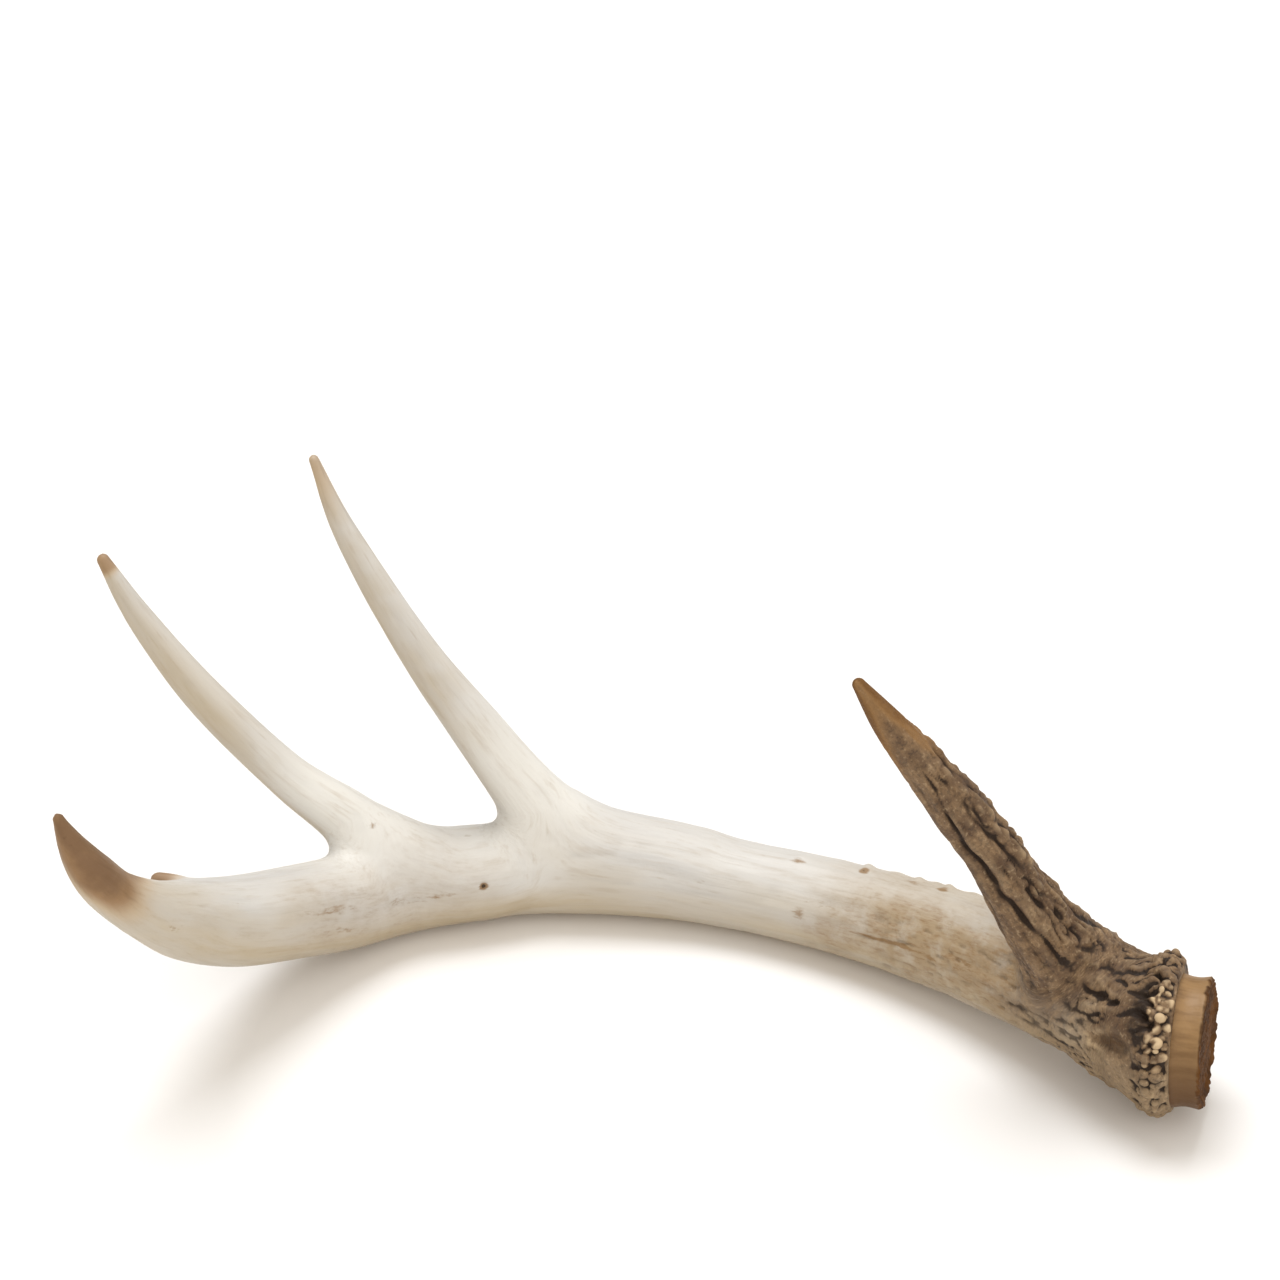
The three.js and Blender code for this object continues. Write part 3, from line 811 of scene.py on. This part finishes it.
# Painted light whitens the bone around the forks of the two pale tines, where it faces up, and the bone
# is a cooler grey along one side of the middle of the beam.
pale = np.zeros(len(points))
for name in ("second_tine", "third_tine"):
    fork = fork_of(name)[0][:3]
    pale = np.maximum(pale, 1 - ease(np.linalg.norm(points - fork, axis=1), 10, 46))
pale *= 1 - ease(lowness, 0.45, 0.75)
warm *= 1 - 0.6 * pale
cool = stretch(beam_at, 150, 200, 320, 360)
warm -= 0.4 * shares["main_beam"] * cool * np.exp(-(((beam_angle + 1.2) / 0.4) ** 2))
grain = sum(share[:, None] * places[name]["straight"] for name, share in shares.items())
# A tine's grain is counted on from its fork on the beam, so that the two run into each other.
for name, (branch, _, _, _) in TINES.items():
    at_fork = beam.place(branch.table[:1, :3])["distance"][0]
    grain[:, 2] += shares[name] * at_fork


def keep(mesh, name, kind, values):
    """Stores one value, or one vector, for each vertex."""
    attribute = mesh.attributes.new(name, kind, "POINT")
    field = "vector" if kind == "FLOAT_VECTOR" else "value"
    attribute.data.foreach_set(field, np.ascontiguousarray(values, np.float32).ravel())


masks = {
    "hollow": hollow, "stain": stain, "tip": tip, "ochre": ochre, "warm": warm, "mark": mark,
    "pale": pale,
}
for name, values in masks.items():
    keep(skin, name, "FLOAT", values)
keep(skin, "grain", "FLOAT_VECTOR", grain * MM)
skin.vertex_normals.foreach_get("vector", normals)
keep(skin, "skin_normal", "FLOAT_VECTOR", normals.reshape(-1, 3))

# ---------------------------------------------------------------- the finish of the bone
# Weathered antler is ivory bone with grey and beige streaks along the grain; the beige also paints shade
# where it faces down, and painted light whitens it by the pale tines' forks. Soil and bark have stained
# it ochre and brown near the skull, dark in its hollows, where painted shade darkens them too, and
# rubbing has polished its tips.


def colour(red, green, blue):
    """A colour given as it shows on a screen, from 0 to 255, as Blender's linear values."""
    shown = np.array([red, green, blue]) / 255
    linear = np.where(shown <= 0.04045, shown / 12.92, ((shown + 0.055) / 1.055) ** 2.4)
    return (*linear.tolist(), 1.0)


IVORY = colour(195, 192, 187)
CHALK = colour(187, 185, 182)
BEIGE_AND_SHADE = colour(172, 157, 130)
PAINTED_LIGHT_WHITE = colour(214, 212, 206)
STREAK = colour(150, 129, 100)
OCHRE_WASH = colour(152, 131, 101)
OCHRE = colour(128, 98, 64)
STAIN_LIGHT = colour(129, 102, 71)
STAIN_DARK = colour(82, 58, 35)
KNOB_TAN = colour(192, 167, 131)
STAIN_PALE = colour(134, 113, 86)
DARK_DIRT_AND_SHADE = colour(34, 21, 10)
MARK_BROWN = colour(85, 61, 36)
RUST = colour(132, 104, 70)
TIP_BROWN = colour(104, 70, 30)
TIP_TAN = colour(172, 142, 100)
TIP_LIGHT = colour(134, 100, 60)


class Nodes:
    """Short ways to add and link shader nodes in one tree."""

    def __init__(self, tree):
        self.tree = tree

    def add(self, kind, **settings):
        node = self.tree.nodes.new(kind)
        for name, value in settings.items():
            setattr(node, name, value)
        return node

    def link(self, source, target):
        self.tree.links.new(source, target)

    def attribute(self, name, output):
        return self.add("ShaderNodeAttribute", attribute_name=name).outputs[output]

    def scaled(self, vector, scale):
        node = self.add("ShaderNodeVectorMath", operation="MULTIPLY")
        self.link(vector, node.inputs[0])
        node.inputs[1].default_value = scale
        return node.outputs["Vector"]

    def noise(self, vector, scale, detail=3.0, roughness=0.55):
        node = self.add("ShaderNodeTexNoise")
        self.link(vector, node.inputs["Vector"])
        node.inputs["Scale"].default_value = scale
        node.inputs["Detail"].default_value = detail
        node.inputs["Roughness"].default_value = roughness
        return node.outputs["Fac"]

    def between(self, value, low, high, first=0.0, last=1.0):
        node = self.add("ShaderNodeMapRange", interpolation_type="SMOOTHSTEP")
        self.link(value, node.inputs["Value"])
        for name, number in (("From Min", low), ("From Max", high), ("To Min", first), ("To Max", last)):
            node.inputs[name].default_value = number
        return node.outputs["Result"]

    def math(self, operation, first, second):
        node = self.add("ShaderNodeMath", operation=operation)
        for socket, value in zip(node.inputs, (first, second)):
            if isinstance(value, (int, float)):
                socket.default_value = value
            else:
                self.link(value, socket)
        return node.outputs[0]

    def times(self, first, second):
        return self.math("MULTIPLY", first, second)

    def plus(self, first, second):
        return self.math("ADD", first, second)

    def mix(self, share, first, second):
        node = self.add("ShaderNodeMix", data_type="RGBA")
        sockets = (node.inputs["Factor"], node.inputs[6], node.inputs[7])
        for socket, value in zip(sockets, (share, first, second)):
            if isinstance(value, (int, float, tuple)):
                socket.default_value = value
            else:
                self.link(value, socket)
        return node.outputs[2]


def bone_finish():
    """The group that all pieces of the growth share: colour, roughness and height from the masks."""
    group = bpy.data.node_groups.new("weathered_bone", "ShaderNodeTree")
    for name, kind in (("Color", "Color"), ("Roughness", "Float"), ("Height", "Float")):
        group.interface.new_socket(name, in_out="OUTPUT", socket_type="NodeSocket" + kind)
    n = Nodes(group)
    result = n.add("NodeGroupOutput")
    grain = n.attribute("grain", "Vector")
    hollow, stain, tip, ochre, warm, mark, pale = (n.attribute(name, "Fac") for name in masks)
    long_grain = n.scaled(grain, (1, 1, 0.12))
    fibre = n.scaled(grain, (1, 1, 0.04))

    broad = n.noise(long_grain, 90, 4)
    fine = n.noise(long_grain, 420, 4, 0.6)
    threads = n.noise(fibre, 900, 3, 0.6)
    speckle = n.noise(grain, 700, 3, 0.6)
    blotch = n.noise(grain, 110, 4, 0.6)
    pits = n.noise(n.scaled(grain, (1, 1, 0.25)), 820, 4, 0.65)

    base = n.mix(n.between(broad, 0.4, 0.66), IVORY, CHALK)
    # Beige where the skin faces down and on the tines' tip sides is partly painted shade.
    base = n.mix(n.times(warm, n.between(broad, 0.25, 0.7, 1.0, 0.5)), base, BEIGE_AND_SHADE)
    # Painted light: whiter bone around the forks where the skin faces up.
    base = n.mix(n.times(pale, 0.75), base, PAINTED_LIGHT_WHITE)
    base = n.mix(n.between(fine, 0.5, 0.75, 0, 0.2), base, STREAK)
    threaded = n.between(blotch, 0.45, 0.7, 0.05, 0.35)
    base = n.mix(n.times(n.between(threads, 0.5, 0.75), threaded), base, STREAK)
    base = n.mix(n.times(ochre, n.between(blotch, 0.3, 0.6, 0.45, 0.95)), base, OCHRE_WASH)
    pitted = n.times(ochre, n.between(pits, 0.44, 0.7, 0, 0.7))
    base = n.mix(n.times(pitted, n.between(blotch, 0.35, 0.6, 0.45, 1)), base, OCHRE)

    stained = n.mix(n.between(blotch, 0.36, 0.64), STAIN_DARK, STAIN_LIGHT)
    stained = n.mix(n.between(pits, 0.42, 0.66, 0.45, 0), stained, STAIN_DARK)
    stained = n.mix(n.between(warm, 0.45, 0.95, 0, 0.8), stained, STAIN_PALE)
    stained = n.mix(n.between(speckle, 0.47, 0.34, 0, 0.45), stained, DARK_DIRT_AND_SHADE)
    stained = n.mix(n.between(speckle, 0.55, 0.7, 0, 0.28), stained, KNOB_TAN)
    stained = n.mix(n.between(hollow, 0.05, -0.8, 0, 0.9), stained, KNOB_TAN)
    base = n.mix(n.between(stain, 0.02, 0.95, 0, 0.97), base, stained)
    # Dirt in the hollows, with painted shade in them and beside the pearls.
    dirt_and_shade = n.times(n.between(hollow, 0.02, 0.5), n.between(stain, 0.2, 0.9, 0.2, 1.0))
    base = n.mix(n.times(dirt_and_shade, 0.96), base, DARK_DIRT_AND_SHADE)
    browning = n.plus(tip, n.times(n.math("SUBTRACT", blotch, 0.5), 0.7))
    horn = n.mix(n.between(browning, 0.55, 1.05), TIP_LIGHT, TIP_BROWN)
    horn = n.mix(n.math("MAXIMUM", n.between(tip, 0.3, 0.7), stain), TIP_TAN, horn)
    horn = n.mix(n.between(fine, 0.5, 0.7, 0, 0.25), horn, MARK_BROWN)
    base = n.mix(n.between(tip, 0, 0.75, 0, 0.92), base, horn)
    ragged = n.plus(mark, n.times(n.math("SUBTRACT", pits, 0.5), 1.1))
    mark_colour = n.mix(n.math("MAXIMUM", stain, tip), RUST, MARK_BROWN)
    base = n.mix(n.between(ragged, 0.2, 0.7, 0, 0.9), base, mark_colour)
    # The strongest mark paints near-black shade inside the vessel's hole.
    base = n.mix(n.between(ragged, 0.9, 1.15, 0, 0.85), base, DARK_DIRT_AND_SHADE)

    roughness = n.between(fine, 0.3, 0.7, 0.42, 0.6)
    roughness = n.plus(roughness, n.times(stain, 0.15))
    ridges = n.noise(fibre, 330, 2, 0.5)
    height = n.plus(n.times(threads, 0.4), n.times(fine, 0.5))
    height = n.plus(height, n.times(ridges, 2.2))
    grit = n.times(speckle, n.between(stain, 0, 1, 0.25, 2.6))
    n.link(base, result.inputs["Color"])
    n.link(roughness, result.inputs["Roughness"])
    n.link(n.plus(height, grit), result.inputs["Height"])
    return group


weathered_bone = bone_finish()


def bone_material(name, bump, gleam):
    """Bone with the shared finish, its fine grain as bumps of the given height, and its gleam."""
    material = bpy.data.materials.new(name)
    material.use_nodes = True
    n = Nodes(material.node_tree)
    shader = material.node_tree.nodes["Principled BSDF"]
    shader.inputs["Specular IOR Level"].default_value = gleam
    finish = n.add("ShaderNodeGroup", node_tree=weathered_bone)
    relief_node = n.add("ShaderNodeBump")
    relief_node.inputs["Strength"].default_value = 0.6
    relief_node.inputs["Distance"].default_value = bump
    n.link(finish.outputs["Height"], relief_node.inputs["Height"])
    n.link(relief_node.outputs["Normal"], shader.inputs["Normal"])
    n.link(finish.outputs["Color"], shader.inputs["Base Color"])
    n.link(finish.outputs["Roughness"], shader.inputs["Roughness"])
    return material


# ---------------------------------------------------------------- parting the skin at the forks
# The skin is cut where the solids are parted, square across each tine, and both sides are capped.
# Every corner keeps the normal of the whole skin, so that no seam shows where two pieces meet.

FORK_REACH = 24.0      # how far from a fork's centre the cut goes, so that it meets no other branch
# Each piece: its finish, how high the finish's bumps are in metres, how much it gleams, and its
# slot in the record.
PIECES = {
    "brow_tine": ("rough_antler", 0.0005, 0.22, "dark_tine"),
    "second_tine": ("smooth_antler", 0.00022, 0.35, "pale_tine"),
    "third_tine": ("smooth_antler", 0.00022, 0.35, "pale_tine"),
    "main_beam": ("grown_antler", 0.0004, 0.28, "beam_bone"),
}
CUT_TINES = [name for name in PIECES if name in TINES]


def cut_forks(mesh):
    """Cuts the skin around each large tine along the plane of its fork, square to its centre line."""
    work = bmesh.new()
    work.from_mesh(mesh)
    for name in CUT_TINES:
        row, _ = fork_of(name)
        centre, normal = (row[:3] + SEAT) * MM, row[3:6]
        spots = np.array([vertex.co for vertex in work.verts])
        close = np.linalg.norm(spots - centre, axis=1) < FORK_REACH * MM
        near = [vertex for vertex, inside in zip(work.verts, close) if inside]
        faces = {face for vertex in near for face in vertex.link_faces}
        edges = {edge for face in faces for edge in face.edges}
        verts = {vertex for face in faces for vertex in face.verts}
        plane = {"plane_co": centre.tolist(), "plane_no": normal.tolist()}
        bmesh.ops.bisect_plane(work, geom=[*verts, *edges, *faces], dist=1e-7, **plane)
    work.to_mesh(mesh)
    work.free()


def beyond_fork(name, middles):
    """True for the faces of a tine: past the plane of its fork, and close to its own skin."""
    row, at = fork_of(name)
    place = TINES[name][0].place(middles)
    past = (middles - row[:3]) @ row[3:6] > 0
    return past & (place["gap"] < 5) & (place["distance"] > at - 6)


def capped_piece(name, corner_vertex, face_start, face_size, spots, layers):
    """A closed mesh from some faces of the skin. Each open edge gets a triangle to the middle of its
    hole, and every corner of the skin keeps the normal that it had in the whole skin."""
    face_of_corner = np.repeat(np.arange(len(face_size)), face_size)
    first_corner = np.repeat(face_start, face_size)
    next_corner = np.arange(len(corner_vertex)) + 1
    last = next_corner - first_corner == face_size[face_of_corner]
    following = np.where(last, first_corner, next_corner)
    used, local = np.unique(corner_vertex, return_inverse=True)
    ahead = local[following]
    count = len(used)
    both_ways = np.isin(local * count + ahead, ahead * count + local)
    start, end = local[~both_ways], ahead[~both_ways]
    place = spots[used]
    groups = np.zeros(len(start), int)
    if name == "main_beam":
        forks = np.array([fork_of(tine)[0][:3] for tine in CUT_TINES])
        groups = np.argmin(np.linalg.norm(place[start][:, None] - forks[None], axis=2), axis=1)
    holes = [start[groups == group] for group in range(groups.max() + 1)]
    centres = np.array([place[hole].mean(0) for hole in holes])
    faces = np.split(local, face_start[1:])
    triangles = np.stack([end, start, count + groups], axis=1)
    mesh = bpy.data.meshes.new(name + "_skin")
    whole = (np.vstack([place, centres]) + SEAT) * MM
    mesh.from_pydata(whole.tolist(), [], [face.tolist() for face in faces] + triangles.tolist())
    for layer, values in layers.items():
        extra = np.array([values[used][hole].mean(0) for hole in holes])
        stacked = np.concatenate([values[used], extra])
        keep(mesh, layer, "FLOAT_VECTOR" if stacked.ndim == 2 else "FLOAT", stacked)
    smooth = np.concatenate([np.ones(len(faces), bool), np.zeros(len(triangles), bool)])
    mesh.polygons.foreach_set("use_smooth", smooth)
    mesh.update()
    flat = np.empty(len(mesh.polygons) * 3)
    mesh.polygons.foreach_get("normal", flat)
    cap_normals = np.repeat(flat.reshape(-1, 3)[len(faces):], 3, axis=0)
    corner_normals = np.vstack([unit(layers["skin_normal"][corner_vertex]), cap_normals])
    mesh.normals_split_custom_set(corner_normals.tolist())
    mesh.attributes.remove(mesh.attributes["skin_normal"])
    return mesh


cut_forks(skin)
corner_vertex = np.empty(len(skin.loops), int)
skin.loops.foreach_get("vertex_index", corner_vertex)
face_start = np.empty(len(skin.polygons), int)
face_size = np.empty(len(skin.polygons), int)
skin.polygons.foreach_get("loop_start", face_start)
skin.polygons.foreach_get("loop_total", face_size)
spots = positions(skin)
middles = np.add.reduceat(spots[corner_vertex], face_start) / face_size[:, None]
layers = {}
for layer in (*masks, "grain", "skin_normal"):
    attribute = skin.attributes[layer]
    vector = attribute.data_type == "FLOAT_VECTOR"
    values = np.empty(len(spots) * (3 if vector else 1), np.float32)
    attribute.data.foreach_get("vector" if vector else "value", values)
    layers[layer] = values.reshape(-1, 3) if vector else values
owner = np.full(len(face_size), "main_beam", dtype="<U16")
for name in CUT_TINES:
    owner[beyond_fork(name, middles)] = name
finishes = {}
for name, (finish_name, bump, gleam, slot) in PIECES.items():
    if finish_name not in finishes:
        finishes[finish_name] = bone_material(finish_name, bump, gleam)
    mine = owner == name
    sizes = face_size[mine]
    corners_here = corner_vertex[np.repeat(mine, face_size)]
    starts = np.concatenate([[0], np.cumsum(sizes)[:-1]])
    mesh = capped_piece(name, corners_here, starts, sizes, spots, layers)
    mesh.materials.append(finishes[finish_name])
    piece = bpy.data.objects.new(name + "_skin", mesh)
    bpy.context.scene.collection.objects.link(piece)
    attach(piece, "root")
    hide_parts(name)

# ---------------------------------------------------------------- the pedicle
# The pedicle is the stump of skull bone that carried the antler, waisted, smooth and tan. It was
# broken and sawn off flat, which has left a chipped dark rim around a rough face of spongy bone.

PEDICLE_DROP = 1.2     # how far its axis lies under that of the burr
# Its profile: place along the axis from the middle of the burr, and radius.
PEDICLE_RADII = [(1.5, 21.4), (5.3, 21.2), (7.5, 20.5), (10, 20.3), (12.3, 20.6), (13.6, 20.9)]
CUT_AT = 14.4
CUT_DISH = 1.2
WALL_RINGS = 40
FACE_RINGS = 44
PEDICLE_AROUND = 420
TAN = colour(141, 110, 72)
TAN_DARK = colour(87, 59, 30)
UMBER = colour(76, 51, 27)
CUT_BROWN = colour(90, 54, 12)
CUT_DEEP = colour(44, 24, 5)


def pedicle_mesh():
    """Rings about the axis: up the wall, over the chipped rim, and in across the dished cut face.
    The radius is the profile's plus two waves, and the rim's edge and the face rise and fall."""
    along, radius = np.array(PEDICLE_RADII, float).T
    wall_along = np.linspace(along[0], along[-1], WALL_RINGS)
    wall_radius = np.interp(wall_along, along, radius)
    wall_radius = np.convolve(np.pad(wall_radius, 3, mode="edge"), np.ones(7) / 7, "valid")
    face_share = np.linspace(0.985, 0.0, FACE_RINGS)
    ring_along = np.concatenate([wall_along, np.full(FACE_RINGS, CUT_AT)])
    ring_radius = np.concatenate([wall_radius, face_share * wall_radius[-1]])
    on_face = np.concatenate([np.zeros(WALL_RINGS), np.ones(FACE_RINGS)])
    angle = np.linspace(0, 2 * np.pi, PEDICLE_AROUND, endpoint=False)
    a, t = np.meshgrid(ring_along, angle, indexing="ij")
    r = np.broadcast_to(ring_radius[:, None], a.shape).copy()
    f = np.broadcast_to(on_face[:, None], a.shape)
    spot = np.stack([r * np.cos(t), r * np.sin(t), a], -1).reshape(-1, 3)
    chips = noise(spot / (2.6, 2.6, 9), 41) + 0.6 * noise(spot / (1.1, 1.1, 4), 42)
    chips = chips.reshape(a.shape)
    near_rim = np.exp(-(((a - CUT_AT) / 1.3) ** 2)) * ease(r, 15, 20)
    sponge = (noise(spot / 1.5, 43) + 0.6 * noise(spot / 0.8, 44)).reshape(a.shape)
    r += (1 - f) * (0.35 * np.cos(2 * t + 0.8) + 0.2 * np.cos(5 * t + 0.1 * a))
    r += (1 - f) * 0.12 * noise(spot / (3, 3, 12), 45).reshape(a.shape)
    broken = (1 - f) * ease(a + 0.9 * chips, CUT_AT - 1.0, CUT_AT - 0.3)
    r += 0.35 * near_rim * chips
    inside = f * (1 - ease(r, 17.5, 20.3))
    a = a + 0.7 * near_rim * np.minimum(chips, 0.6) - CUT_DISH * inside + 0.4 * inside * sponge
    offset = a[..., None] * PEDICLE_AXIS + (r * np.cos(t))[..., None] * AXIS_TOP
    offset = offset - (r * np.sin(t))[..., None] * AXIS_SIDE
    place = BURR_CENTRE - (0, 0, PEDICLE_DROP) + offset
    # The last ring has no width, so its middle closes the face in its place.
    vertices, faces = closed_rings(place[:-1], [place[0].mean(0), place[-1].mean(0)])
    mesh = bpy.data.meshes.new("pedicle_bone")
    mesh.from_pydata(((vertices + SEAT) * MM).tolist(), [], faces)
    cut = np.maximum(f, broken)
    low = 0.5 - 0.5 * np.cos(t + 0.2)
    deep = inside * ease(-sponge, 0.1, 0.9)
    for mask, values, at_ends in (("cut", cut, (0, 1)), ("low", low, (0, 0)), ("deep", deep, (0, 0))):
        keep(mesh, mask, "FLOAT", np.concatenate([values[:-1].ravel(), at_ends]))
    on_rings = spot[:-PEDICLE_AROUND]
    keep(mesh, "grain", "FLOAT_VECTOR", np.vstack([on_rings, [(0, 0, 0), (0, 0, CUT_AT)]]) * MM)
    work = bmesh.new()
    work.from_mesh(mesh)
    bmesh.ops.recalc_face_normals(work, faces=work.faces)
    for face in work.faces:
        face.smooth = True
    work.to_mesh(mesh)
    work.free()
    return mesh


def skull_material():
    """Tan skull bone with streaks along the stump, deeper brown below, and a dark broken cut."""
    material = bpy.data.materials.new("sawn_skull")
    material.use_nodes = True
    n = Nodes(material.node_tree)
    shader = material.node_tree.nodes["Principled BSDF"]
    shader.inputs["Specular IOR Level"].default_value = 0.25
    grain = n.attribute("grain", "Vector")
    streaks = n.noise(n.scaled(grain, (1, 1, 0.15)), 260, 4, 0.6)
    cloud = n.noise(grain, 120, 4, 0.6)
    speckle = n.noise(grain, 900, 3, 0.6)
    wall = n.mix(n.between(streaks, 0.36, 0.7, 0, 0.5), TAN, TAN_DARK)
    wall = n.mix(n.between(n.attribute("low", "Fac"), 0.2, 0.85, 0.0, 0.95), wall, TAN_DARK)
    wall = n.mix(n.between(cloud, 0.55, 0.75, 0, 0.4), wall, UMBER)
    cut = n.mix(n.between(cloud, 0.35, 0.65, 0.25, 1), CUT_DEEP, CUT_BROWN)
    cut = n.mix(n.times(n.attribute("deep", "Fac"), 0.6), cut, CUT_DEEP)
    n.link(n.mix(n.attribute("cut", "Fac"), wall, cut), shader.inputs["Base Color"])
    rougher = n.times(n.attribute("cut", "Fac"), 0.35)
    n.link(n.plus(n.between(streaks, 0.3, 0.7, 0.4, 0.55), rougher), shader.inputs["Roughness"])
    relief_node = n.add("ShaderNodeBump")
    relief_node.inputs["Strength"].default_value = 0.5
    relief_node.inputs["Distance"].default_value = 0.0003
    n.link(n.plus(streaks, n.times(speckle, 0.5)), relief_node.inputs["Height"])
    n.link(relief_node.outputs["Normal"], shader.inputs["Normal"])
    return material


pedicle_bone = bpy.data.objects.new("pedicle_bone", pedicle_mesh())
pedicle_bone.data.materials.append(skull_material())
bpy.context.scene.collection.objects.link(pedicle_bone)
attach(pedicle_bone, "root")
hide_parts("pedicle")
